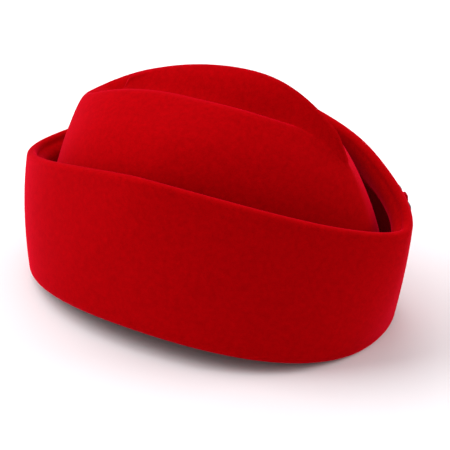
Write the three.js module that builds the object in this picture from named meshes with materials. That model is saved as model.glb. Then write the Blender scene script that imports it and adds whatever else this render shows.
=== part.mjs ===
// A flight attendant cap: one moulded sheet of felt with a small ribbon bow on its far side.
// Units are millimetres, +Z is up, +X points to the prow of the crown and -Y to the folded side.
import * as THREE from 'three';

// Felt body
const HALF_LENGTH = 105.2;
const HALF_WIDTH = 81.8;
const CROWN_HEIGHT = 131.5;
const FELT_THICKNESS = 2.8;
const BOTTOM_FOLD_RADIUS = 2.4;
const BOTTOM_ARCH = 11.0;
const REST_FLAT_DEPTH = 0.3;
const OPENING_POWER_PROW = 2.18;
const OPENING_POWER_FAR = 2.11;
const SIDE_FOLD_DEPTH = 8.0;

// Turned-up cuff, measured from the table to its rim
const CUFF_HEIGHT = 88.4;
const CUFF_DROP_RIGHT = 23.6;
const CUFF_DROP_LEFT = 31.0;
const CUFF_BULGE = 1.2;
const PROW_BULGE = 1.6;
const FAR_END_BULGE = 2.8;
const HEM_HEIGHT = 30.0;
const HEM_STANDOFF = 5.0;

// Ribbon bow
const BOW_ANGLE = 29.0;
const BOW_BELOW_RIM = 9.0;
const RIBBON_WIDTH = 9.0;
const RIBBON_THICKNESS = 0.8;
const LOOP_LENGTH = 8.0;
const LOOP_DEPTH = 2.0;
const KNOT_LENGTH = 5.0;
const KNOT_DEPTH = 2.6;
const PIECE_CLEARANCE = 0.35;

// How finely the surfaces are cut
const COLUMNS = 72;
const FOLD_STEPS = 5;
const CUFF_STEPS = 4;
const HEM_STEPS = 7;
const LOOP_STATIONS = 28;
const RIBBON_STEPS = 3;
const PROBE = 1e-4;

// Sections of the crown from the head opening (station 0) to the keel line (station 1).
// Lengths along X are shares of HALF_LENGTH, widths of HALF_WIDTH, heights of CROWN_HEIGHT.
const CROWN_SECTIONS = [
  {
    station: 0.22, centre: 0.000, right: 0.915, left: 0.921, near: 0.846, far: 0.846, powerRight: 2.10,
    powerLeft: 2.30, top: 0.373, dropRight: 0.126, dropLeft: 0.148, bendRight: 2.0, bendLeft: 2.0,
  },
  {
    station: 0.44, centre: 0.000, right: 0.884, left: 0.861, near: 0.747, far: 0.730, powerRight: 1.60,
    powerLeft: 2.10, top: 0.654, dropRight: 0.183, dropLeft: 0.236, bendRight: 2.0, bendLeft: 2.0,
  },
  {
    station: 0.58, centre: 0.000, right: 0.819, left: 0.816, near: 0.596, far: 0.494, powerRight: 1.45,
    powerLeft: 2.07, top: 0.804, dropRight: 0.191, dropLeft: 0.213, bendRight: 2.8, bendLeft: 2.2,
  },
  {
    station: 0.70, centre: 0.000, right: 0.748, left: 0.746, near: 0.300, far: 0.215, powerRight: 1.42,
    powerLeft: 2.52, top: 0.904, dropRight: 0.192, dropLeft: 0.168, bendRight: 2.6, bendLeft: 2.2,
  },
  {
    station: 0.86, centre: 0.086, right: 0.656, left: 0.658, near: 0.139, far: 0.103, powerRight: 1.42,
    powerLeft: 2.20, top: 0.922, dropRight: 0.186, dropLeft: 0.166, bendRight: 2.6, bendLeft: 2.0,
  },
  {
    station: 1.00, centre: 0.182, right: 0.501, left: 0.683, near: 0.000, far: 0.000, powerRight: 1.30,
    powerLeft: 1.30, top: 0.992, dropRight: 0.162, dropLeft: 0.142, bendRight: 2.4, bendLeft: 1.9,
  },
];

// The rim of the cuff: lengths are shares of HALF_LENGTH, widths of HALF_WIDTH.
const RIM = {
  centre: 0.006, right: 1.088, left: 1.092, near: 0.852, far: 0.891, powerRight: 1.61, powerLeft: 1.80,
  bendRight: 1.77, bendLeft: 1.50,
};

// The side fold: the crown's stations where it starts, is deepest and ends, and the angles in
// degrees over which it grows at the left end and dies away towards the prow.
const SIDE_FOLD = {
  crest: 0.68, valley: 0.785, end: 0.97, growFrom: 192, growTo: 222, fadeFrom: 280, fadeTo: 334,
};

// Rows of the crown's mesh, closer where the side fold turns
const CROWN_ROWS = [
  { from: 1.00, to: 0.82, steps: 4 },
  { from: 0.82, to: 0.67, steps: 7 },
  { from: 0.67, to: 0.58, steps: 2 },
  { from: 0.58, to: 0.00, steps: 7 },
];

const halfFelt = FELT_THICKNESS / 2;

function smooth(from, to, value) {
  const t = THREE.MathUtils.clamp((value - from) / (to - from), 0, 1);
  return t * t * (3 - 2 * t);
}

// Shares along X and Y of a rounded oval at an angle, both 1 on its axes
function ovalShare(angle, power) {
  const c = Math.cos(angle);
  const s = Math.sin(angle);
  const scale = (Math.abs(c) ** power + Math.abs(s) ** power) ** (-1 / power);
  return [c * scale, s * scale];
}

// A point of one section: its plan is an oval and its height falls from the sides to the ends.
function sectionPoint(section, angle) {
  const isRight = Math.cos(angle) > 0;
  const isNear = Math.sin(angle) < 0;
  const [shareX, shareY] = ovalShare(angle, isRight ? section.powerRight : section.powerLeft);
  const drop = isRight ? section.dropRight : section.dropLeft;
  const bend = isRight ? section.bendRight : section.bendLeft;
  return new THREE.Vector3(
    section.centre + (isRight ? section.right : section.left) * shareX,
    (isNear ? section.near : section.far) * shareY,
    section.top - drop * Math.abs(shareX) ** bend,
  );
}

function bottomSection(inset) {
  return {
    station: 0,
    centre: 0,
    right: HALF_LENGTH - inset,
    left: HALF_LENGTH - inset,
    near: HALF_WIDTH - inset,
    far: HALF_WIDTH - inset,
    powerRight: OPENING_POWER_PROW,
    powerLeft: OPENING_POWER_FAR,
    top: BOTTOM_ARCH + BOTTOM_FOLD_RADIUS + halfFelt,
    dropRight: BOTTOM_ARCH,
    dropLeft: BOTTOM_ARCH,
    bendRight: 2,
    bendLeft: 2,
  };
}

const crownSections = [
  bottomSection(halfFelt + 2 * BOTTOM_FOLD_RADIUS),
  ...CROWN_SECTIONS.map((row) => ({
    ...row,
    centre: row.centre * HALF_LENGTH,
    right: row.right * HALF_LENGTH,
    left: row.left * HALF_LENGTH,
    near: row.near * HALF_WIDTH,
    far: row.far * HALF_WIDTH,
    top: row.top * CROWN_HEIGHT,
    dropRight: row.dropRight * CROWN_HEIGHT,
    dropLeft: row.dropLeft * CROWN_HEIGHT,
  })),
];

const cuffBase = bottomSection(halfFelt);

const cuffRim = {
  centre: RIM.centre * HALF_LENGTH,
  right: RIM.right * HALF_LENGTH,
  left: RIM.left * HALF_LENGTH,
  near: RIM.near * HALF_WIDTH,
  far: RIM.far * HALF_WIDTH,
  powerRight: RIM.powerRight,
  powerLeft: RIM.powerLeft,
  top: CUFF_HEIGHT,
  dropRight: CUFF_DROP_RIGHT,
  dropLeft: CUFF_DROP_LEFT,
  bendRight: RIM.bendRight,
  bendLeft: RIM.bendLeft,
};

// How strongly the side fold shows at an angle round the crown, from 0 to 1
function sideFoldWeight(angle) {
  const degrees = THREE.MathUtils.euclideanModulo(THREE.MathUtils.radToDeg(angle), 360);
  const grown = smooth(SIDE_FOLD.growFrom, SIDE_FOLD.growTo, degrees);
  return grown * (1 - smooth(SIDE_FOLD.fadeFrom, SIDE_FOLD.fadeTo, degrees));
}

// Middle of the felt on the crown: a smooth curve through the sections at one angle
function crownPoint(angle, station) {
  const last = crownSections.length - 1;
  const points = crownSections.map((section) => sectionPoint(section, angle));
  const slope = (i, j) => points[j].clone().sub(points[i])
    .divideScalar(crownSections[j].station - crownSections[i].station);
  const tangent = (i) => {
    if (i === 0) return slope(0, 1);
    if (i === last) return slope(last - 1, last);
    const before = crownSections[i].station - crownSections[i - 1].station;
    const after = crownSections[i + 1].station - crownSections[i].station;
    return slope(i - 1, i).multiplyScalar(after).addScaledVector(slope(i, i + 1), before)
      .divideScalar(before + after);
  };
  let i = 0;
  while (i < last - 1 && station >= crownSections[i + 1].station) i += 1;
  const span = crownSections[i + 1].station - crownSections[i].station;
  const u = (station - crownSections[i].station) / span;
  const point = points[i].clone().multiplyScalar(2 * u ** 3 - 3 * u ** 2 + 1)
    .addScaledVector(tangent(i), span * (u ** 3 - 2 * u ** 2 + u))
    .addScaledVector(points[i + 1], 3 * u ** 2 - 2 * u ** 3)
    .addScaledVector(tangent(i + 1), span * (u ** 3 - u ** 2));
  const fall = smooth(SIDE_FOLD.crest, SIDE_FOLD.valley, station);
  const rise = smooth(SIDE_FOLD.valley, SIDE_FOLD.end, station);
  point.z -= SIDE_FOLD_DEPTH * sideFoldWeight(angle) * fall * (1 - rise);
  return point;
}

// Middle of the cuff's outer layer: it swells a little between foot and rim, most at the ends.
function cuffPoint(angle, share) {
  const point = sectionPoint(cuffBase, angle).lerp(sectionPoint(cuffRim, angle), share);
  const outward = new THREE.Vector3(point.x / HALF_LENGTH ** 2, point.y / HALF_WIDTH ** 2, 0);
  const endBulge = Math.cos(angle) > 0 ? PROW_BULGE : FAR_END_BULGE;
  const bulge = THREE.MathUtils.lerp(CUFF_BULGE, endBulge, Math.cos(angle) ** 2);
  return point.addScaledVector(outward.normalize(), bulge * 4 * share * (1 - share));
}

// What the cuff's turned-in edge adds to the felt on the groove's side: a second layer at the rim,
// which stands off the wall a little lower down at the cap's ends
function hemThickness(angle, run) {
  const depth = THREE.MathUtils.clamp((3 - run) * CUFF_HEIGHT / HEM_HEIGHT, 0, 1);
  const secondLayer = FELT_THICKNESS * (1 - smooth(0.5, 1, depth));
  return secondLayer + HEM_STANDOFF * Math.cos(angle) ** 2 * 6.75 * depth * (1 - depth) ** 2;
}

// Half a turn of felt under the cap, from the crown's wall to the cuff
function bottomFoldPoint(angle, turn) {
  const crownSide = sectionPoint(crownSections[0], angle);
  const cuffSide = sectionPoint(cuffBase, angle);
  const point = crownSide.lerp(cuffSide, (1 - Math.cos(turn * Math.PI)) / 2);
  point.z -= Math.sin(turn * Math.PI) * BOTTOM_FOLD_RADIUS;
  return point;
}

// The whole sheet in one run: 0 is the keel, 1 the head opening, 2 the foot of the cuff, 3 its rim.
function sheetPoint(angle, run) {
  if (run <= 1) return crownPoint(angle, 1 - run);
  if (run < 2) return bottomFoldPoint(angle, run - 1);
  return cuffPoint(angle, run - 2);
}

function sheetNormal(angle, run) {
  const from = Math.max(run - PROBE, 0);
  const to = Math.min(run + PROBE, 3);
  const along = sheetPoint(angle + PROBE, run).sub(sheetPoint(angle - PROBE, run));
  const down = sheetPoint(angle, to).sub(sheetPoint(angle, from));
  return down.cross(along).normalize();
}

// A point on a face of the felt, outset from its middle and pushed on past its edge by reach.
// Where the crown is narrow, neither side crosses the keel's plane.
function facePoint(angle, run, outset, reach = 0) {
  const point = sheetPoint(angle, run);
  if (reach > 0) {
    const onward = point.clone().sub(sheetPoint(angle, run - PROBE)).normalize();
    point.addScaledVector(onward, reach);
  }
  const normal = run === 0
    ? sheetNormal(angle, PROBE).add(sheetNormal(-angle, PROBE)).normalize()
    : sheetNormal(angle, run);
  const middleY = point.y;
  point.addScaledVector(normal, outset);
  if (point.y * middleY < 0) point.y = middleY / 4;
  point.z = Math.max(point.z - REST_FLAT_DEPTH, 0);
  return point;
}

// Rows of one column, from the keel down to the opening, up the groove to the rim and all the way
// back. Side and onward are places across and past the felt's middle in half thicknesses.
function sheetRows() {
  const runs = [];
  for (const band of CROWN_ROWS) {
    for (let k = 0; k < band.steps; k += 1) {
      runs.push(1 - THREE.MathUtils.lerp(band.from, band.to, k / band.steps));
    }
  }
  for (let k = 0; k < FOLD_STEPS; k += 1) runs.push(1 + k / FOLD_STEPS);
  const hemFoot = 3 - HEM_HEIGHT / CUFF_HEIGHT;
  for (let k = 0; k < CUFF_STEPS; k += 1) runs.push(THREE.MathUtils.lerp(2, hemFoot, k / CUFF_STEPS));
  for (let k = 0; k <= HEM_STEPS; k += 1) runs.push(THREE.MathUtils.lerp(hemFoot, 3, k / HEM_STEPS));
  const there = runs.map((run) => ({ run, side: 1, onward: 0 }));
  const back = runs.map((run) => ({ run, side: -1, onward: 0 })).reverse();
  return [...there, { run: 3, side: 0.5, onward: 0.87 }, { run: 3, side: -0.5, onward: 0.87 }, ...back];
}

function geometryFrom(positions, triangles) {
  const geometry = new THREE.BufferGeometry();
  const numbers = positions.flatMap((point) => point.toArray());
  geometry.setAttribute('position', new THREE.Float32BufferAttribute(numbers, 3));
  geometry.setIndex(triangles);
  geometry.computeVertexNormals();
  return geometry;
}

// Two triangles for a four-sided patch, cut along its shorter diagonal and without empty ones
function patch(positions, a, b, c, d) {
  const across = positions[a].distanceToSquared(positions[c]);
  const other = positions[b].distanceToSquared(positions[d]);
  const pair = across <= other ? [[a, b, c], [a, c, d]] : [[a, b, d], [b, c, d]];
  return pair.filter((t) => new Set(t).size === 3).flat();
}

function feltGeometry() {
  const rows = sheetRows();
  const last = rows.length - 1;
  const positions = [];
  const grid = [];
  for (let column = 0; column < COLUMNS; column += 1) {
    const angle = (2 * Math.PI * column) / COLUMNS;
    const twin = COLUMNS - column;
    grid.push(rows.map(({ run, side, onward }, row) => {
      const isKeel = row === 0 || row === last;
      if (isKeel && column > COLUMNS / 2) return grid[twin][row];
      const hem = hemThickness(angle, run);
      const half = (FELT_THICKNESS + hem) / 2;
      positions.push(facePoint(angle, run, hem / 2 + side * half, onward * half));
      return positions.length - 1;
    }));
  }
  const triangles = [];
  for (let column = 0; column < COLUMNS; column += 1) {
    const here = grid[column];
    const next = grid[(column + 1) % COLUMNS];
    for (let row = 0; row < last; row += 1) {
      triangles.push(...patch(positions, here[row], here[row + 1], next[row + 1], next[row]));
    }
  }
  return geometryFrom(positions, triangles);
}

// A point by the outer face of the cuff: along it, up from the bow's middle and out from the felt
function byCuff(along, up, out) {
  const middle = THREE.MathUtils.degToRad(BOW_ANGLE);
  const lengthPerRadian = cuffPoint(middle + PROBE, 1).distanceTo(cuffPoint(middle, 1)) / PROBE;
  const angle = middle - along / lengthPerRadian;
  const cuffLength = cuffPoint(angle, 0).distanceTo(cuffPoint(angle, 1));
  const run = 3 - (BOW_BELOW_RIM - up) / cuffLength;
  return facePoint(angle, run, -halfFelt - PIECE_CLEARANCE - out);
}

// A closed ribbon loop, seen from above a flat drop that narrows to the knot
function loopGeometry(side) {
  const start = KNOT_LENGTH / 2 + PIECE_CLEARANCE;
  const outline = (turn, inset) => {
    const share = (1 - Math.cos(turn)) / 2;
    const fullness = Math.sin(turn) * (0.45 + 0.55 * Math.sqrt(share));
    return {
      along: start + inset + (LOOP_LENGTH - 2 * inset) * share,
      out: LOOP_DEPTH / 2 + (LOOP_DEPTH / 2 - inset) * fullness / 0.9,
    };
  };
  const positions = [];
  const edge = RIBBON_STEPS + 1;
  for (let k = 0; k < LOOP_STATIONS; k += 1) {
    const turn = (2 * Math.PI * k) / LOOP_STATIONS;
    for (const inset of [0, RIBBON_THICKNESS]) {
      const { along, out } = outline(turn, inset);
      for (let step = 0; step < edge; step += 1) {
        const up = RIBBON_WIDTH * (step / RIBBON_STEPS - 0.5);
        positions.push(byCuff(side * along, inset === 0 ? up : -up, out));
      }
    }
  }
  return ringGeometry(positions, 2 * edge, LOOP_STATIONS, side > 0);
}

// Skin over stations of a closed ring, each with the same number of points round its section
function ringGeometry(positions, around, stations, isFlipped) {
  const triangles = [];
  for (let k = 0; k < stations; k += 1) {
    const here = k * around;
    const next = ((k + 1) % stations) * around;
    for (let j = 0; j < around; j += 1) {
      const up = (j + 1) % around;
      const corners = [here + j, next + j, next + up, here + up];
      if (isFlipped) corners.reverse();
      triangles.push(...patch(positions, ...corners));
    }
  }
  return geometryFrom(positions, triangles);
}

// The felt keeper round the middle of the bow: a soft block with rounded long edges
function knotGeometry() {
  // Shares of the knot's length and depth round its section
  const profile = [
    { along: -0.50, out: 0.06 },
    { along: -0.50, out: 0.72 },
    { along: -0.36, out: 0.94 },
    { along: 0.00, out: 1.00 },
    { along: 0.36, out: 0.94 },
    { along: 0.50, out: 0.72 },
    { along: 0.50, out: 0.06 },
    { along: 0.44, out: 0.00 },
    { along: 0.00, out: 0.00 },
    { along: -0.44, out: 0.00 },
  ];
  const height = RIBBON_WIDTH + 2 * RIBBON_THICKNESS;
  const positions = [];
  for (let step = 0; step <= RIBBON_STEPS; step += 1) {
    const up = height * (step / RIBBON_STEPS - 0.5);
    for (const { along, out } of profile) {
      positions.push(byCuff(along * KNOT_LENGTH, up, out * KNOT_DEPTH));
    }
  }
  const triangles = [];
  const around = profile.length;
  for (let step = 0; step < RIBBON_STEPS; step += 1) {
    for (let j = 0; j < around; j += 1) {
      const k = (j + 1) % around;
      const low = step * around;
      const high = low + around;
      triangles.push(...patch(positions, low + j, high + j, high + k, low + k));
    }
  }
  const top = RIBBON_STEPS * around;
  for (let j = 1; j < around - 1; j += 1) {
    triangles.push(0, j, j + 1);
    triangles.push(top, top + j + 1, top + j);
  }
  return geometryFrom(positions, triangles);
}

const felt = new THREE.MeshStandardMaterial({ color: 0xb8060f, roughness: 0.95, metalness: 0 });
const ribbon = new THREE.MeshStandardMaterial({ color: 0x111012, roughness: 0.7, metalness: 0 });

function addPiece(group, name, geometry, material) {
  const mesh = new THREE.Mesh(geometry, material);
  mesh.name = name;
  group.add(mesh);
}

const cap = new THREE.Group();
addPiece(cap, 'felt_cap', feltGeometry(), felt);
addPiece(cap, 'bow_loop_front', loopGeometry(1), ribbon);
addPiece(cap, 'bow_loop_back', loopGeometry(-1), ribbon);
addPiece(cap, 'bow_knot', knotGeometry(), felt);

// The cap stands over the middle of its own box.
const middle = new THREE.Box3().setFromObject(cap).getCenter(new THREE.Vector3());
cap.position.set(-middle.x, -middle.y, 0);
cap.updateMatrixWorld(true);

export default cap;
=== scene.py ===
"""Studio render of a flight attendant cap in red fulled wool felt.

The felt is one moulded sheet: an arched crown with a lengthwise fold on its near side, a rounded
fold under the head opening and a tall cuff that stands off the crown. A small black ribbon bow sits
behind the cuff. Lengths are named in millimetres and turned to metres where meshes are made.
"""
import logging
import math
from dataclasses import dataclass, field, replace
from enum import Enum

import bpy
import numpy as np
from mathutils import Matrix, Vector


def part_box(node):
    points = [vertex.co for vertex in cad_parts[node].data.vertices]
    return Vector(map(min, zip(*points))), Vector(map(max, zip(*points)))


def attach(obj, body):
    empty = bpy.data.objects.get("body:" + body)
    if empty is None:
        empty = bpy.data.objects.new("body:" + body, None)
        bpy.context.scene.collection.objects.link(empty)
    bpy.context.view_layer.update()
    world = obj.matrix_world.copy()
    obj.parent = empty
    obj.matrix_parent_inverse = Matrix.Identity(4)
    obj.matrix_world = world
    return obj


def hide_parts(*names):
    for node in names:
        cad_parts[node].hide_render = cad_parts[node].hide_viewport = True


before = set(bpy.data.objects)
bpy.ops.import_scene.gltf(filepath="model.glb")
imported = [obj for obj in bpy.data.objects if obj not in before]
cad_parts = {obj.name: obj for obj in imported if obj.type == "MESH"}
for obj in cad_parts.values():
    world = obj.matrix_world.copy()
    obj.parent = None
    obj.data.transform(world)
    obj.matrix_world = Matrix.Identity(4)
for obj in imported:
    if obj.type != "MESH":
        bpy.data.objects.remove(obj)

LOG = logging.getLogger("cap")
MM = 0.001
BODY = "root"
TINY = 1e-12

# Places along the felt's run, from the crown's keel to the cuff's rim
OPENING = 1.0
FOOT = 2.0
RIM = 3.0


# Small helpers
def linear_from_hex(code: str) -> tuple[float, float, float, float]:
    """Turn an sRGB hex colour into linear RGBA.

    Args:
        code: Six hex digits, with or without a leading #.

    Returns:
        Linear red, green, blue and an alpha of 1.
    """
    digits = code.lstrip("#")
    channels = [int(digits[i:i + 2], 16) / 255 for i in (0, 2, 4)]
    linear = [c / 12.92 if c <= 0.04045 else ((c + 0.055) / 1.055) ** 2.4 for c in channels]
    return linear[0], linear[1], linear[2], 1.0


def smooth_step(start: float, end: float, value: np.ndarray) -> np.ndarray:
    """Rise smoothly from 0 at start to 1 at end.

    Args:
        start: Value at which the step begins.
        end: Value at which the step is complete.
        value: Where the step is read.

    Returns:
        The height of the step at each value.
    """
    share = np.clip((value - start) / (end - start), 0.0, 1.0)
    return share * share * (3.0 - 2.0 * share)


def unit(vectors: np.ndarray) -> np.ndarray:
    """Scale the vectors on the last axis to a length of 1."""
    return vectors / np.maximum(np.linalg.norm(vectors, axis=-1, keepdims=True), TINY)


def add_node(tree: bpy.types.NodeTree, kind: str, settings: dict[str, object] | None = None,
             links: dict[str, bpy.types.NodeSocket] | None = None) -> bpy.types.Node:
    """Add one shader node with its settings and links.

    Args:
        tree: Node tree that gets the node.
        kind: Blender's name of the node type.
        settings: Values for sockets by name, or for the node's own attributes.
        links: Sockets that feed the node's inputs, by input name.

    Returns:
        The new node.
    """
    node = tree.nodes.new(kind)
    for name, value in (settings or {}).items():
        if name in node.inputs:
            node.inputs[name].default_value = value
        else:
            setattr(node, name, value)
    for name, socket in (links or {}).items():
        tree.links.new(socket, node.inputs[name])
    return node


def new_material(name: str) -> tuple[bpy.types.Material, bpy.types.NodeTree]:
    """Make an empty node material.

    Args:
        name: Name of the material.

    Returns:
        The material and its cleared node tree.
    """
    material = bpy.data.materials.new(name)
    material.use_nodes = True
    material.node_tree.nodes.clear()
    return material, material.node_tree


def mesh_object(name: str, points_mm: np.ndarray, faces: list[tuple[int, ...]],
                uv: np.ndarray | None = None) -> bpy.types.Object:
    """Make a smooth-shaded object from points and faces.

    Args:
        name: Name of the object and its mesh.
        points_mm: Corner points in millimetres, one row each.
        faces: Corner numbers of each face.
        uv: Texture places of the points in millimetres, one row each.

    Returns:
        The object, linked into the scene.
    """
    mesh = bpy.data.meshes.new(name)
    mesh.from_pydata((points_mm * MM).tolist(), [], faces)
    mesh.validate()
    mesh.polygons.foreach_set("use_smooth", [True] * len(mesh.polygons))
    if uv is not None:
        layer = mesh.uv_layers.new(name="ribbon")
        corners = np.empty(len(mesh.loops), dtype=np.int32)
        mesh.loops.foreach_get("vertex_index", corners)
        layer.data.foreach_set("uv", uv[corners].astype(np.float32).ravel())
    mesh.update()
    piece = bpy.data.objects.new(name, mesh)
    bpy.context.scene.collection.objects.link(piece)
    return piece


# Finishes
@dataclass(frozen=True)
class FulledWoolFelt:
    """Fulled wool felt, dyed through and blocked with steam.

    Fulling mats the wool into a dense, matt sheet. It has no weave: the eye sees a soft mottle of
    matted tufts, a fine pebble of fibre ends, and a pale bloom where the nap is seen edge on.
    """

    name: str = "fulled_wool_felt_red"
    deep: str = "#9c0003"
    body: str = "#b20005"
    bloom: str = "#ff1038"
    tuft_mm: float = 2.6
    pebble_mm: float = 0.55
    fibre_mm: float = 0.22
    pebble_height_mm: float = 0.05
    # How far each pattern weighs in: pebble in the mottle, fibres in the relief
    pebble_share: float = 0.45
    fibre_share: float = 0.4
    # Noise values that give the deep and the full colour
    mottle_range: tuple[float, float] = (0.36, 0.64)
    relief_strength: float = 0.6
    roughness: float = 0.95
    ior: float = 1.45
    specular_level: float = 0.02
    sheen: float = 1.0
    sheen_roughness: float = 0.35

    def build(self) -> bpy.types.Material:
        """Build the felt's node material.

        Returns:
            The material.
        """
        material, tree = new_material(self.name)
        place = add_node(tree, "ShaderNodeTexCoord").outputs["Object"]
        tufts = add_node(tree, "ShaderNodeTexNoise",
                         {"Scale": 1 / (self.tuft_mm * MM), "Detail": 4.0, "Roughness": 0.6},
                         {"Vector": place})
        pebble = add_node(tree, "ShaderNodeTexNoise",
                          {"Scale": 1 / (self.pebble_mm * MM), "Detail": 3.0, "Roughness": 0.65},
                          {"Vector": place})
        fibres = add_node(tree, "ShaderNodeTexNoise",
                          {"Scale": 1 / (self.fibre_mm * MM), "Detail": 2.0, "Distortion": 1.2},
                          {"Vector": place})
        mottle = add_node(tree, "ShaderNodeMix", {"data_type": "FLOAT", "Factor": self.pebble_share},
                          {"A": tufts.outputs["Fac"], "B": pebble.outputs["Fac"]})
        darkest, palest = self.mottle_range
        spread = add_node(tree, "ShaderNodeMapRange", {"From Min": darkest, "From Max": palest},
                          {"Value": mottle.outputs["Result"]})
        colour = add_node(tree, "ShaderNodeMix", {"data_type": "RGBA", "A": linear_from_hex(self.deep),
                                                  "B": linear_from_hex(self.body)},
                          {"Factor": spread.outputs["Result"]})
        relief = add_node(tree, "ShaderNodeMix", {"data_type": "FLOAT", "Factor": self.fibre_share},
                          {"A": pebble.outputs["Fac"], "B": fibres.outputs["Fac"]})
        bump = add_node(tree, "ShaderNodeBump",
                        {"Strength": self.relief_strength, "Distance": self.pebble_height_mm * MM},
                        {"Height": relief.outputs["Result"]})
        shader = add_node(tree, "ShaderNodeBsdfPrincipled",
                          {"Roughness": self.roughness, "IOR": self.ior,
                           "Specular IOR Level": self.specular_level,
                           "Sheen Weight": self.sheen, "Sheen Roughness": self.sheen_roughness,
                           "Sheen Tint": linear_from_hex(self.bloom)},
                          {"Base Color": colour.outputs["Result"], "Normal": bump.outputs["Normal"]})
        add_node(tree, "ShaderNodeOutputMaterial", links={"Surface": shader.outputs["BSDF"]})
        return material


@dataclass(frozen=True)
class GrosgrainRibbon:
    """Black grosgrain, a ribbon woven with thick cross ribs.

    The ribs catch a dull line of light each, shown by their bump and by a painted highlight colour on each
    rib, and the two selvedges stay smooth and flat.
    """

    name: str = "grosgrain_ribbon_black"
    thread: str = "#121113"
    # Painted highlight: the lighter colour laid on each rib for the line of light it catches
    painted_rib_highlight: str = "#2b292c"
    rib_mm: float = 0.9
    rib_height_mm: float = 0.12
    rib_strength: float = 0.8
    rib_waver: float = 0.4
    roughness: float = 0.62
    ior: float = 1.5
    sheen: float = 0.25

    def build(self) -> bpy.types.Material:
        """Build the ribbon's node material.

        Returns:
            The material.
        """
        material, tree = new_material(self.name)
        place = add_node(tree, "ShaderNodeTexCoord").outputs["UV"]
        # One wave repeats every 2 pi / 20 units of the wave texture's scale of 1.
        ribs = add_node(tree, "ShaderNodeTexWave",
                        {"wave_type": "BANDS", "bands_direction": "X", "Scale": math.pi / 10 / self.rib_mm,
                         "Distortion": self.rib_waver, "Detail": 1.0}, {"Vector": place})
        # Each rib band gets the lighter colour as a painted highlight; the bump below adds the ribs' real
        # relief
        colour = add_node(tree, "ShaderNodeMix", {"data_type": "RGBA", "A": linear_from_hex(self.thread),
                                                  "B": linear_from_hex(self.painted_rib_highlight)},
                          {"Factor": ribs.outputs["Fac"]})
        bump = add_node(tree, "ShaderNodeBump",
                        {"Strength": self.rib_strength, "Distance": self.rib_height_mm * MM},
                        {"Height": ribs.outputs["Fac"]})
        shader = add_node(tree, "ShaderNodeBsdfPrincipled",
                          {"Roughness": self.roughness, "IOR": self.ior, "Sheen Weight": self.sheen},
                          {"Base Color": colour.outputs["Result"], "Normal": bump.outputs["Normal"]})
        add_node(tree, "ShaderNodeOutputMaterial", links={"Surface": shader.outputs["BSDF"]})
        return material


@dataclass(frozen=True)
class StudioPaper:
    """Matt white background paper, with no gloss and a very faint tooth."""

    name: str = "background_paper_white"
    paper: str = "#f0ecef"
    roughness: float = 1.0
    tooth_mm: float = 1.5
    tooth_height_mm: float = 0.05
    tooth_strength: float = 0.05

    def build(self) -> bpy.types.Material:
        """Build the paper's node material.

        Returns:
            The material.
        """
        material, tree = new_material(self.name)
        place = add_node(tree, "ShaderNodeTexCoord").outputs["Object"]
        tooth = add_node(tree, "ShaderNodeTexNoise", {"Scale": 1 / (self.tooth_mm * MM)},
                         {"Vector": place})
        bump = add_node(tree, "ShaderNodeBump",
                        {"Strength": self.tooth_strength, "Distance": self.tooth_height_mm * MM},
                        {"Height": tooth.outputs["Fac"]})
        shader = add_node(tree, "ShaderNodeBsdfPrincipled",
                          {"Base Color": linear_from_hex(self.paper), "Roughness": self.roughness,
                           "Specular IOR Level": 0.0}, {"Normal": bump.outputs["Normal"]})
        add_node(tree, "ShaderNodeOutputMaterial", links={"Surface": shader.outputs["BSDF"]})
        return material


# The felt sheet
@dataclass(frozen=True, kw_only=True)
class Section:
    """One oval section of the felt's middle, in millimetres or in shares of the cap's sizes.

    Its plan reaches right, left, near and far from its centre, and its height falls from top at the
    sides by the drops at the ends. The powers say how full the plan's two ends are, and the bends
    how late the height falls.
    """

    station: float = 0.0
    centre: float = 0.0
    right: float
    left: float
    near: float
    far: float
    power_right: float
    power_left: float
    top: float = 0.0
    drop_right: float = 0.0
    drop_left: float = 0.0
    bend_right: float = 2.0
    bend_left: float = 2.0

    def scaled(self, length: float, width: float, height: float) -> "Section":
        """Turn a section of shares into one of sizes.

        Args:
            length: Size that the lengths along X are shares of.
            width: Size that the widths are shares of.
            height: Size that the top and the drops are shares of.

        Returns:
            The section in the sizes' unit.
        """
        return replace(self, centre=self.centre * length, right=self.right * length,
                       left=self.left * length, near=self.near * width, far=self.far * width,
                       top=self.top * height, drop_right=self.drop_right * height,
                       drop_left=self.drop_left * height)

    def point(self, angle: np.ndarray) -> np.ndarray:
        """Points of the section.

        Args:
            angle: Angles round the cap in radians, 0 at the prow.

        Returns:
            Points in millimetres, with X, Y and Z on the last axis.
        """
        cosine, sine = np.cos(angle), np.sin(angle)
        is_right, is_near = cosine > 0, sine < 0
        power = np.where(is_right, self.power_right, self.power_left)
        scale = (np.abs(cosine) ** power + np.abs(sine) ** power) ** (-1 / power)
        share_x, share_y = cosine * scale, sine * scale
        x = self.centre + np.where(is_right, self.right, self.left) * share_x
        y = np.where(is_near, self.near, self.far) * share_y
        bend = np.where(is_right, self.bend_right, self.bend_left)
        z = self.top - np.where(is_right, self.drop_right, self.drop_left) * np.abs(share_x) ** bend
        return np.stack([x, y, z], axis=-1)


@dataclass(frozen=True)
class SideFold:
    """The crown's lengthwise fold: its depth in millimetres, its stations and its angles in degrees."""

    depth: float = 8.0
    crest: float = 0.68
    valley: float = 0.785
    end: float = 0.97
    grow_from: float = 192.0
    grow_to: float = 222.0
    fade_from: float = 280.0
    fade_to: float = 334.0

    def dip(self, angle: np.ndarray, station: np.ndarray) -> np.ndarray:
        """Say how deep the fold lies.

        Args:
            angle: Angles round the cap in radians.
            station: 0 at the head opening to 1 at the keel, one for each angle.

        Returns:
            Depths in millimetres.
        """
        degrees = np.degrees(angle) % 360.0
        grown = smooth_step(self.grow_from, self.grow_to, degrees)
        weight = grown * (1 - smooth_step(self.fade_from, self.fade_to, degrees))
        down = smooth_step(self.crest, self.valley, station)
        return self.depth * weight * (down * (1 - smooth_step(self.valley, self.end, station)))


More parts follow.
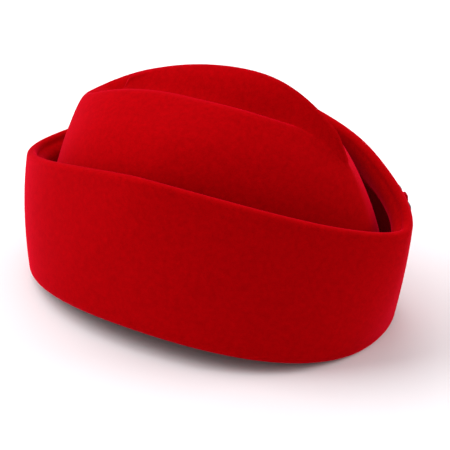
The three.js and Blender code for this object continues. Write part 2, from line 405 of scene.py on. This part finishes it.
# Sections of the crown from the head opening (station 0) to the keel (station 1). Lengths along X
# are shares of the half length, widths of the half width and heights of the crown's height.
CROWN_SECTIONS = (
    Section(station=0.22, centre=0.000, right=0.915, left=0.921, near=0.846, far=0.846,
            power_right=2.10, power_left=2.30, top=0.373, drop_right=0.126, drop_left=0.148,
            bend_right=2.0, bend_left=2.0),
    Section(station=0.44, centre=0.000, right=0.884, left=0.861, near=0.747, far=0.730,
            power_right=1.60, power_left=2.10, top=0.654, drop_right=0.183, drop_left=0.236,
            bend_right=2.0, bend_left=2.0),
    Section(station=0.58, centre=0.000, right=0.819, left=0.816, near=0.596, far=0.494,
            power_right=1.45, power_left=2.07, top=0.804, drop_right=0.191, drop_left=0.213,
            bend_right=2.8, bend_left=2.2),
    Section(station=0.70, centre=0.000, right=0.748, left=0.746, near=0.300, far=0.215,
            power_right=1.42, power_left=2.52, top=0.904, drop_right=0.192, drop_left=0.168,
            bend_right=2.6, bend_left=2.2),
    Section(station=0.86, centre=0.086, right=0.656, left=0.658, near=0.139, far=0.103,
            power_right=1.42, power_left=2.20, top=0.922, drop_right=0.186, drop_left=0.166,
            bend_right=2.6, bend_left=2.0),
    Section(station=1.00, centre=0.182, right=0.501, left=0.683, near=0.000, far=0.000,
            power_right=1.30, power_left=1.30, top=0.992, drop_right=0.162, drop_left=0.142,
            bend_right=2.4, bend_left=1.9),
)

# The cuff's rim, in the same shares; its heights are sizes of their own.
RIM_SECTION = Section(centre=0.006, right=1.088, left=1.092, near=0.852, far=0.891,
                      power_right=1.61, power_left=1.80, bend_right=1.77, bend_left=1.50)


@dataclass
class FeltSheet:
    """The felt's shape: one run from the keel over the crown, under the opening and up the cuff."""

    half_length: float = 105.2
    half_width: float = 81.8
    crown_height: float = 131.5
    thickness: float = 2.8
    fold_radius: float = 2.4
    bottom_arch: float = 11.0
    rest_depth: float = 0.3
    opening_power_right: float = 2.18
    opening_power_left: float = 2.11
    cuff_height: float = 88.4
    cuff_drop_right: float = 23.6
    cuff_drop_left: float = 31.0
    cuff_bulge: float = 1.2
    prow_bulge: float = 1.6
    far_end_bulge: float = 2.8
    hem_height: float = 30.0
    hem_standoff: float = 5.0
    # Share of the hem's height, down from the rim, over which its layer is full
    hem_full: float = 0.5
    side_fold: SideFold = SideFold()
    # Share of the middle's distance from the keel's plane that a face keeps at least
    keel_gap: float = 0.25
    # Step along and round the sheet over which its slopes are measured
    probe: float = 1e-4
    sections: list[Section] = field(init=False)
    cuff_base: Section = field(init=False)
    cuff_rim: Section = field(init=False)
    shift: np.ndarray = field(init=False)

    def __post_init__(self) -> None:
        """Work out the sections from the named sizes."""
        length, width, height = self.half_length, self.half_width, self.crown_height
        self.sections = [self._bottom(self.thickness / 2 + 2 * self.fold_radius)]
        self.sections += [section.scaled(length, width, height) for section in CROWN_SECTIONS]
        self.cuff_base = self._bottom(self.thickness / 2)
        self.cuff_rim = replace(
            RIM_SECTION.scaled(length, width, height), top=self.cuff_height,
            drop_right=self.cuff_drop_right, drop_left=self.cuff_drop_left)
        self.shift = np.zeros(3)

    def _bottom(self, inset: float) -> Section:
        """Work out a section at the bottom fold.

        Args:
            inset: Distance in from the cap's outline in millimetres.

        Returns:
            The section.
        """
        length, width = self.half_length - inset, self.half_width - inset
        return Section(right=length, left=length, near=width, far=width,
                       power_right=self.opening_power_right, power_left=self.opening_power_left,
                       top=self.bottom_arch + self.fold_radius + self.thickness / 2,
                       drop_right=self.bottom_arch, drop_left=self.bottom_arch)

    def crown(self, angle: np.ndarray, station: np.ndarray) -> np.ndarray:
        """Middle of the felt on the crown.

        Args:
            angle: Angles round the cap in radians.
            station: 0 at the head opening to 1 at the keel, one for each angle.

        Returns:
            Points in millimetres.
        """
        stations = np.array([section.station for section in self.sections])
        points = np.stack([section.point(angle) for section in self.sections])
        spans = np.diff(stations)
        slopes = (points[1:] - points[:-1]) / spans.reshape(-1, *([1] * angle.ndim), 1)
        tangents = np.empty_like(points)
        tangents[0], tangents[-1] = slopes[0], slopes[-1]
        for i in range(1, len(stations) - 1):
            tangents[i] = (slopes[i - 1] * spans[i] + slopes[i] * spans[i - 1]) / (spans[i - 1] + spans[i])
        index = np.clip(np.searchsorted(stations, station, side="right") - 1, 0, len(stations) - 2)
        # A Hermite curve through the sections, with u from 0 to 1 between two of them
        result = np.zeros_like(points[0])
        for i, span in enumerate(spans):
            here = index == i
            u = ((station[here] - stations[i]) / span)[:, None]
            result[here] = ((2 * u ** 3 - 3 * u ** 2 + 1) * points[i][here]
                            + (u ** 3 - 2 * u ** 2 + u) * span * tangents[i][here]
                            + (3 * u ** 2 - 2 * u ** 3) * points[i + 1][here]
                            + (u ** 3 - u ** 2) * span * tangents[i + 1][here])
        result[..., 2] -= self.side_fold.dip(angle, station)
        return result

    def hem(self, angle: np.ndarray, run: np.ndarray) -> np.ndarray:
        """What the cuff's turned-in edge adds to the felt on the groove's side.

        Args:
            angle: Angles round the cap in radians.
            run: Place along the sheet's run.

        Returns:
            Added thickness in millimetres: a second layer at the rim, which stands off the wall a
            little lower down at the cap's ends.
        """
        depth = np.clip((RIM - run) * self.cuff_height / self.hem_height, 0, 1)
        second_layer = self.thickness * (1 - smooth_step(self.hem_full, 1.0, depth))
        # The arch depth (1 - depth)^2 is 4/27 high, so this scales it to 1.
        arch = 27 / 4 * depth * (1 - depth) ** 2
        standoff = self.hem_standoff * np.cos(angle) ** 2 * arch
        return second_layer + standoff

    def cuff(self, angle: np.ndarray, share: np.ndarray) -> np.ndarray:
        """Middle of the felt on the cuff.

        Args:
            angle: Angles round the cap in radians.
            share: 0 at the cuff's foot to 1 at its rim, one for each angle.

        Returns:
            Points in millimetres.
        """
        foot, rim = self.cuff_base.point(angle), self.cuff_rim.point(angle)
        result = foot + (rim - foot) * share[..., None]
        outward = unit(result[..., :2] / np.array([self.half_length, self.half_width]) ** 2)
        end_bulge = np.where(np.cos(angle) > 0, self.prow_bulge, self.far_end_bulge)
        bulge = self.cuff_bulge + (end_bulge - self.cuff_bulge) * np.cos(angle) ** 2
        swell = bulge * 4 * share * (1 - share)
        result[..., :2] += outward * swell[..., None]
        return result

    def bottom_fold(self, angle: np.ndarray, turn: np.ndarray) -> np.ndarray:
        """Middle of the felt in the half turn under the opening.

        Args:
            angle: Angles round the cap in radians.
            turn: 0 at the crown to 1 at the cuff, one for each angle.

        Returns:
            Points in millimetres.
        """
        crown_side, cuff_side = self.sections[0].point(angle), self.cuff_base.point(angle)
        result = crown_side + (cuff_side - crown_side) * ((1 - np.cos(turn * math.pi)) / 2)[..., None]
        result[..., 2] -= np.sin(turn * math.pi) * self.fold_radius
        return result

    def middle(self, angle: np.ndarray, run: np.ndarray) -> np.ndarray:
        """Middle of the felt along the whole run.

        Args:
            angle: Angles round the cap in radians.
            run: 0 at the keel, 1 at the opening, 2 at the cuff's foot and 3 at its rim.

        Returns:
            Points in millimetres.
        """
        result = np.zeros(angle.shape + (3,))
        on_crown, on_cuff = run <= OPENING, run >= FOOT
        in_fold = ~(on_crown | on_cuff)
        result[on_crown] = self.crown(angle[on_crown], OPENING - run[on_crown])
        result[in_fold] = self.bottom_fold(angle[in_fold], run[in_fold] - OPENING)
        result[on_cuff] = self.cuff(angle[on_cuff], run[on_cuff] - FOOT)
        return result

    def normal(self, angle: np.ndarray, run: np.ndarray) -> np.ndarray:
        """Unit normals of the felt.

        Args:
            angle: Angles round the cap in radians.
            run: Place along the sheet's run.

        Returns:
            Directions out of the crown and into the groove.
        """
        along = self.middle(angle + self.probe, run) - self.middle(angle - self.probe, run)
        down = (self.middle(angle, np.minimum(run + self.probe, RIM))
                - self.middle(angle, np.maximum(run - self.probe, 0.0)))
        return unit(np.cross(down, along))

    def face(self, angle: np.ndarray, run: np.ndarray, outset: np.ndarray, reach: np.ndarray) -> np.ndarray:
        """Points on a face of the felt.

        Args:
            angle: Angles round the cap in radians.
            run: Place along the sheet's run.
            outset: Distance from the felt's middle along its normal.
            reach: Distance past the sheet's edge, for the rounded rim.

        Returns:
            Points in millimetres, never below the surface that the cap rests on.
        """
        middle = self.middle(angle, run)
        step = unit(middle - self.middle(angle, np.maximum(run - self.probe, 0.0)))
        # Both sides of the crown share one normal at the keel.
        inside = np.maximum(run, self.probe)
        normal = self.normal(angle, inside)
        mirrored = self.normal(-angle, inside)
        normal = unit(np.where((run == 0)[..., None], normal + mirrored, normal))
        result = middle + step * reach[..., None] + normal * outset[..., None]
        # Where the crown is narrow, neither side crosses the keel's plane.
        crossed = result[..., 1] * middle[..., 1] < 0
        result[..., 1] = np.where(crossed, self.keel_gap * middle[..., 1], result[..., 1])
        result[..., 2] = np.maximum(result[..., 2] - self.rest_depth, 0.0)
        return result + self.shift


@dataclass(frozen=True)
class PlaneWave:
    """A sine wave, with its millimetres per radian along each axis and its phase in radians."""

    along_x: float = math.inf
    along_y: float = math.inf
    along_z: float = math.inf
    phase: float = 0.0

    def height(self, points: np.ndarray) -> np.ndarray:
        """Height of the wave at each point, from -1 to 1."""
        x, y, z = points[..., 0], points[..., 1], points[..., 2]
        return np.sin(x / self.along_x + y / self.along_y + z / self.along_z + self.phase)


@dataclass(frozen=True)
class RowBand:
    """A stretch of the felt's run up to its end, and how many rows of the mesh lie on it."""

    end: float
    rows: int


@dataclass
class FeltCap:
    """The felt body: crown, bottom fold and cuff as one skin with a real thickness."""

    sheet: FeltSheet
    felt: bpy.types.Material
    columns: int = 288
    # From the keel to the rim, closest where the side fold turns
    bands: tuple[RowBand, ...] = (
        RowBand(0.16, 18), RowBand(0.34, 40), RowBand(0.42, 8), RowBand(OPENING, 26),
        RowBand(FOOT, 14), RowBand(2.6, 12), RowBand(RIM, 26),
    )
    rim_steps: int = 10
    # Height of the hand-shaped unevenness, and the heights over which it sets in
    ripple: float = 0.35
    ripple_heights: tuple[float, float] = (8.0, 40.0)
    # Share of the unevenness that goes up and down
    ripple_lift: float = 0.5
    long_wave: PlaneWave = PlaneWave(along_x=17.0, along_y=23.0)
    tall_wave: PlaneWave = PlaneWave(along_z=19.0, phase=0.8)
    slanted_wave: PlaneWave = PlaneWave(along_x=9.5, along_z=-13.0, phase=1.7)
    short_wave: PlaneWave = PlaneWave(along_y=7.5, along_z=11.0)
    slanted_share: float = 0.6
    short_share: float = 0.4

    def build(self) -> bpy.types.Object:
        """Build the felt, dress it and put it in place of the plain solid.

        Returns:
            The felt body.
        """
        self._settle()
        points, faces = self._skin()
        piece = mesh_object("felt_body", points, faces)
        piece.data.materials.append(self.felt)
        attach(piece, BODY)
        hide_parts("felt_cap")
        return piece

    def _settle(self) -> None:
        """Move the sheet so that the felt's plain solid and this one share a middle in plan."""
        lowest, highest = (np.array(corner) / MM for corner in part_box("felt_cap"))
        points = self._points()
        shift = (lowest + highest) / 2 - (points.min(axis=(0, 1)) + points.max(axis=(0, 1))) / 2
        self.sheet.shift = np.array([shift[0], shift[1], 0.0])

    def _points(self) -> np.ndarray:
        """Work out the points of the skin.

        Returns:
            Points in columns round the cap and rows from the keel to the rim and back.
        """
        runs, sides, onwards = self._rows()
        angles = 2 * math.pi * np.arange(self.columns) / self.columns
        angle, run = np.meshgrid(angles, runs, indexing="ij")
        hem = self.sheet.hem(angle, run)
        half = (self.sheet.thickness + hem) / 2
        points = self.sheet.face(angle, run, hem / 2 + sides * half, onwards * half)
        return points + self._hand_shaping(self.sheet.middle(angle, run))

    def _rows(self) -> tuple[np.ndarray, np.ndarray, np.ndarray]:
        """Rows of one column, from keel to rim and back inside.

        Returns:
            Their runs, and their places across and past the felt's middle in half thicknesses.
        """
        runs: list[float] = []
        start = 0.0
        for band in self.bands:
            runs += [start + (band.end - start) * k / band.rows for k in range(band.rows)]
            start = band.end
        runs.append(RIM)
        turns = [math.pi * k / self.rim_steps for k in range(1, self.rim_steps)]
        outer = [(run, 1.0, 0.0) for run in runs]
        nose = [(RIM, math.cos(turn), math.sin(turn)) for turn in turns]
        inner = [(run, -1.0, 0.0) for run in reversed(runs)]
        run, side, onward = np.array(outer + nose + inner).T
        return run, side, onward

    def _skin(self) -> tuple[np.ndarray, list[tuple[int, ...]]]:
        """Close the skin at the keel and over the rim.

        Returns:
            Points in millimetres, and the corner numbers of each face.
        """
        points = self._points()
        rows = points.shape[1]
        index = np.arange(self.columns * rows).reshape(self.columns, rows)
        twin = (self.columns - np.arange(self.columns)) % self.columns
        beyond = np.arange(self.columns) > self.columns // 2
        for row in (0, rows - 1):
            index[beyond, row] = index[twin[beyond], row]
        faces: list[tuple[int, ...]] = []
        for column in range(self.columns):
            here, after = index[column], index[(column + 1) % self.columns]
            for row in range(rows - 1):
                corners = (int(here[row]), int(here[row + 1]), int(after[row + 1]), int(after[row]))
                unique = tuple(dict.fromkeys(corners))
                if len(unique) > 2:
                    faces.append(unique)
        return points.reshape(-1, 3), faces

    def _hand_shaping(self, middle: np.ndarray) -> np.ndarray:
        """Slow unevenness of felt that was pulled and steamed by hand.

        Args:
            middle: Middle of the felt at each point, so that both faces move together.

        Returns:
            A small shift of each point, which dies away at the bottom fold.
        """
        wave = (self.long_wave.height(middle) * self.tall_wave.height(middle)
                + self.slanted_share * self.slanted_wave.height(middle)
                + self.short_share * self.short_wave.height(middle))
        loose = smooth_step(*self.ripple_heights, middle[..., 2])
        sideways = np.sign(middle[..., 1]) * np.abs(np.sin(np.arctan2(middle[..., 1], middle[..., 0])))
        shift = np.zeros_like(middle)
        shift[..., 1] = self.ripple * wave * loose * np.clip(sideways * 2, -1, 1)
        shift[..., 2] = self.ripple_lift * self.ripple * wave * loose
        return shift


# The bow
class BowSide(Enum):
    """Which way a loop of the bow lies from its knot."""

    FRONT = 1
    BACK = -1


@dataclass
class RibbonBow:
    """A small flat bow on the outside of the cuff, near the prow end of the far side."""

    sheet: FeltSheet
    ribbon_finish: GrosgrainRibbon
    felt: bpy.types.Material
    angle_degrees: float = 29.0
    below_rim: float = 9.0
    width: float = 9.0
    ribbon: float = 0.8
    loop_length: float = 8.0
    loop_depth: float = 2.0
    knot_length: float = 5.0
    knot_depth: float = 2.6
    clearance: float = 0.35
    # How full a loop is beside the knot, as a share, and a divisor that fills its depth
    loop_neck: float = 0.45
    loop_peak: float = 0.9
    # How round the keeper's section is along the felt and out from it, and its waist as a share
    keeper_powers: tuple[float, float] = (0.5, 0.6)
    keeper_waist: float = 0.12
    loop_stations: int = 72
    keeper_stations: int = 32
    width_steps: int = 10

    def build(self) -> list[bpy.types.Object]:
        """Build the two ribbon loops and the felt keeper, in place of their plain solids.

        Returns:
            The front loop, the back loop and the keeper.
        """
        ribbon = self.ribbon_finish.build()
        loops = [self._loop(BowSide.FRONT, "ribbon_loop_front", "bow_loop_front"),
                 self._loop(BowSide.BACK, "ribbon_loop_back", "bow_loop_back")]
        keeper = self._keeper("felt_keeper", "bow_knot")
        for piece in (*loops, keeper):
            is_felt = piece is keeper
            piece.data.materials.append(self.felt if is_felt else ribbon)
            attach(piece, BODY)
        return [*loops, keeper]

    def _by_cuff(self, along: np.ndarray, up: np.ndarray, out: np.ndarray) -> np.ndarray:
        """Points beside the cuff's outer face.

        Args:
            along: Distance from the knot towards the prow.
            up: Distance above the bow's middle.
            out: Distance out from the felt, past the clearance.

        Returns:
            Points in millimetres.
        """
        middle = np.array([math.radians(self.angle_degrees)])
        rim = np.array([1.0])
        probe = self.sheet.probe
        step = self.sheet.cuff(middle + probe, rim) - self.sheet.cuff(middle, rim)
        angle = middle[0] - along / (np.linalg.norm(step) / probe)
        tall = self.sheet.cuff(angle, np.ones_like(angle)) - self.sheet.cuff(angle, np.zeros_like(angle))
        run = RIM - (self.below_rim - up) / np.linalg.norm(tall, axis=-1)
        outset = -self.sheet.thickness / 2 - self.clearance - out
        return self.sheet.face(angle, run, outset, np.zeros_like(angle))

    def _loop(self, side: BowSide, name: str, node: str) -> bpy.types.Object:
        """Build one ribbon loop: a flat drop in plan, narrow at the knot.

        Args:
            side: Which way the loop lies from the knot.
            name: Name of the piece.
            node: Plain solid that the piece stands for.

        Returns:
            The loop.
        """
        start = self.knot_length / 2 + self.clearance
        turns = 2 * math.pi * np.arange(self.loop_stations) / self.loop_stations
        share = (1 - np.cos(turns)) / 2
        taper = self.loop_neck + (1 - self.loop_neck) * np.sqrt(share)
        fullness = np.sin(turns) * taper / self.loop_peak
        edge = np.linspace(-0.5, 0.5, self.width_steps + 1)
        # The ring's section runs up the outside of the ribbon and back down its inside.
        around = [(0.0, up) for up in edge] + [(self.ribbon, -up) for up in edge]
        points, places = [], []
        for inset, up in around:
            along = start + inset + (self.loop_length - 2 * inset) * share
            out = self.loop_depth / 2 + (self.loop_depth / 2 - inset) * fullness
            height = np.full_like(along, up * self.width)
            points.append(self._by_cuff(side.value * along, height, out))
            places.append(np.stack([along + out, height], axis=-1))
        grid = np.stack(points, axis=1)
        uv = np.stack(places, axis=1)
        return self._ring(name, node, grid, uv, side is BowSide.FRONT)

    def _ring(self, name: str, node: str, grid: np.ndarray, uv: np.ndarray,
              is_flipped: bool) -> bpy.types.Object:
        """Skin a closed ring of sections and put it in place of its plain solid.

        Args:
            name: Name of the piece.
            node: Plain solid that the piece stands for.
            grid: Points, one row for each section of the ring.
            uv: Texture places of the points in millimetres.
            is_flipped: Whether the faces' corners run the other way round.

        Returns:
            The ring.
        """
        stations, around = grid.shape[:2]
        faces = []
        for k in range(stations):
            here, after = k * around, (k + 1) % stations * around
            for j in range(around):
                up = (j + 1) % around
                corners = (here + j, after + j, after + up, here + up)
                faces.append(corners[::-1] if is_flipped else corners)
        piece = mesh_object(name, grid.reshape(-1, 3), faces, uv.reshape(-1, 2))
        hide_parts(node)
        return piece

    def _keeper(self, name: str, node: str) -> bpy.types.Object:
        """Build the felt strip that holds the bow's middle, rounded along its long edges.

        Args:
            name: Name of the piece.
            node: Plain solid that the piece stands for.

        Returns:
            The keeper.
        """
        turns = np.linspace(0, 2 * math.pi, self.keeper_stations + 1)[:-1]
        cosine, sine = np.cos(turns), np.sin(turns)
        power_along, power_out = self.keeper_powers
        along = 0.5 * self.knot_length * np.sign(cosine) * np.abs(cosine) ** power_along
        out = self.knot_depth * (0.5 + 0.5 * np.sign(sine) * np.abs(sine) ** power_out)
        height = self.width + 2 * self.ribbon
        levels = np.linspace(-0.5, 0.5, self.width_steps + 1)
        rows = []
        for level in levels:
            waist = 1 - self.keeper_waist * math.cos(math.pi * level) ** 2
            rows.append(self._by_cuff(along * waist, np.full_like(along, level * height), out))
        grid = np.stack(rows)
        around = len(turns)
        faces = [(k * around + j, (k + 1) * around + j, (k + 1) * around + (j + 1) % around,
                  k * around + (j + 1) % around)
                 for k in range(len(levels) - 1) for j in range(around)]
        faces.append(tuple(range(around)))
        faces.append(tuple(reversed(range((len(levels) - 1) * around, len(levels) * around))))
        uv = np.stack([np.broadcast_to(levels[:, None] * height, (len(levels), around)),
                       np.broadcast_to(along + out, (len(levels), around))], axis=-1)
        piece = mesh_object(name, grid.reshape(-1, 3), faces, uv.reshape(-1, 2))
        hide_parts(node)
        return piece


# Studio
@dataclass(frozen=True)
class Softbox:
    """A square soft light, with its turn from the camera's heading, its distance and size in metres."""

    name: str
    turn_degrees: float
    rise_degrees: float
    distance: float
    size: float
    power: float
    colour: str = "#ffffff"


@dataclass
class Studio:
    """White paper, softboxes and the camera at the photograph's angle."""

    paper: StudioPaper
    # Height in metres that the softboxes are aimed at
    aim_height: float = 0.06
    target_mm: tuple[float, float, float] = (29.2, -35.0, 60.0)
    heading_degrees: float = 30.68
    rise_degrees: float = 26.0
    roll_degrees: float = 2.09
    distance_mm: float = 817.3
    focal_mm: float = 128.0
    sensor_mm: float = 36.0
    floor_size: float = 6.0
    world: str = "#ffffff"
    world_strength: float = 0.50
    softboxes: tuple[Softbox, ...] = (
        Softbox("light_left", -94.0, 40.0, 1.4, 1.0, 13.0),
        Softbox("light_right", 98.0, 22.0, 1.5, 0.9, 11.0),
        Softbox("light_top", -150.0, 62.0, 1.6, 1.4, 15.0),
    )

    def build(self) -> None:
        """Build the floor, the lights, the world and the camera."""
        self._floor()
        for box in self.softboxes:
            self._light(box)
        self._world()
        self._camera()
        bpy.context.scene.view_settings.view_transform = "Standard"

    def _direction(self, turn_degrees: float, rise_degrees: float) -> Vector:
        """Direction from the cap to a light or the camera.

        Args:
            turn_degrees: Turn from the camera's heading.
            rise_degrees: Angle above the floor.

        Returns:
            The direction, of length 1.
        """
        heading = math.radians(self.heading_degrees + turn_degrees)
        rise = math.radians(rise_degrees)
        flat = math.cos(rise)
        return Vector((math.sin(heading) * flat, -math.cos(heading) * flat, math.sin(rise)))

    def _floor(self) -> None:
        """Lay the white paper under the cap."""
        half = self.floor_size / MM / 2
        corners = [(-half, -half, 0.0), (half, -half, 0.0), (half, half, 0.0), (-half, half, 0.0)]
        floor = mesh_object("paper_floor", np.array(corners), [(0, 1, 2, 3)])
        floor.data.materials.append(self.paper.build())

    def _light(self, box: Softbox) -> None:
        """Hang one softbox and aim it at the cap.

        Args:
            box: The softbox's name, place, size and power.
        """
        light = bpy.data.lights.new(box.name, "AREA")
        light.shape = "SQUARE"
        light.size = box.size
        light.energy = box.power
        light.color = linear_from_hex(box.colour)[:3]
        holder = bpy.data.objects.new(box.name, light)
        middle = Vector((0.0, 0.0, self.aim_height))
        direction = self._direction(box.turn_degrees, box.rise_degrees)
        holder.location = middle + direction * box.distance
        holder.rotation_euler = direction.to_track_quat("Z", "Y").to_euler()
        bpy.context.scene.collection.objects.link(holder)

    def _world(self) -> None:
        """Light the whole scene evenly with white surroundings."""
        world = bpy.data.worlds.new("white_surroundings")
        world.use_nodes = True
        world.node_tree.nodes.clear()
        glow = add_node(world.node_tree, "ShaderNodeBackground",
                        {"Color": linear_from_hex(self.world), "Strength": self.world_strength})
        add_node(world.node_tree, "ShaderNodeOutputWorld", links={"Surface": glow.outputs["Background"]})
        bpy.context.scene.world = world

    def _camera(self) -> None:
        """Set the camera as the photograph was taken."""
        camera = bpy.data.cameras.new("camera")
        camera.lens = self.focal_mm
        camera.sensor_width = self.sensor_mm
        holder = bpy.data.objects.new("camera", camera)
        backward = self._direction(0.0, self.rise_degrees)
        right = Vector((0.0, 0.0, 1.0)).cross(backward).normalized()
        up = backward.cross(right)
        turn = Matrix((right, up, backward)).transposed().to_4x4()
        place = Vector(self.target_mm) * MM + backward * self.distance_mm * MM
        roll = Matrix.Rotation(math.radians(self.roll_degrees), 4, "Z")
        holder.matrix_world = Matrix.Translation(place) @ turn @ roll
        bpy.context.scene.collection.objects.link(holder)
        bpy.context.scene.camera = holder


def main() -> None:
    """Build the cap and the studio, and report each piece."""
    logging.basicConfig(level=logging.INFO, format="%(name)s: %(message)s")
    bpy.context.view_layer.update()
    sheet = FeltSheet()
    felt = FulledWoolFelt().build()
    cap = FeltCap(sheet, felt).build()
    LOG.info("%s: %d faces", cap.name, len(cap.data.polygons))
    for piece in RibbonBow(sheet, GrosgrainRibbon(), felt).build():
        LOG.info("%s: %d faces", piece.name, len(piece.data.polygons))
    Studio(StudioPaper()).build()


if __name__ == "__main__":
    main()
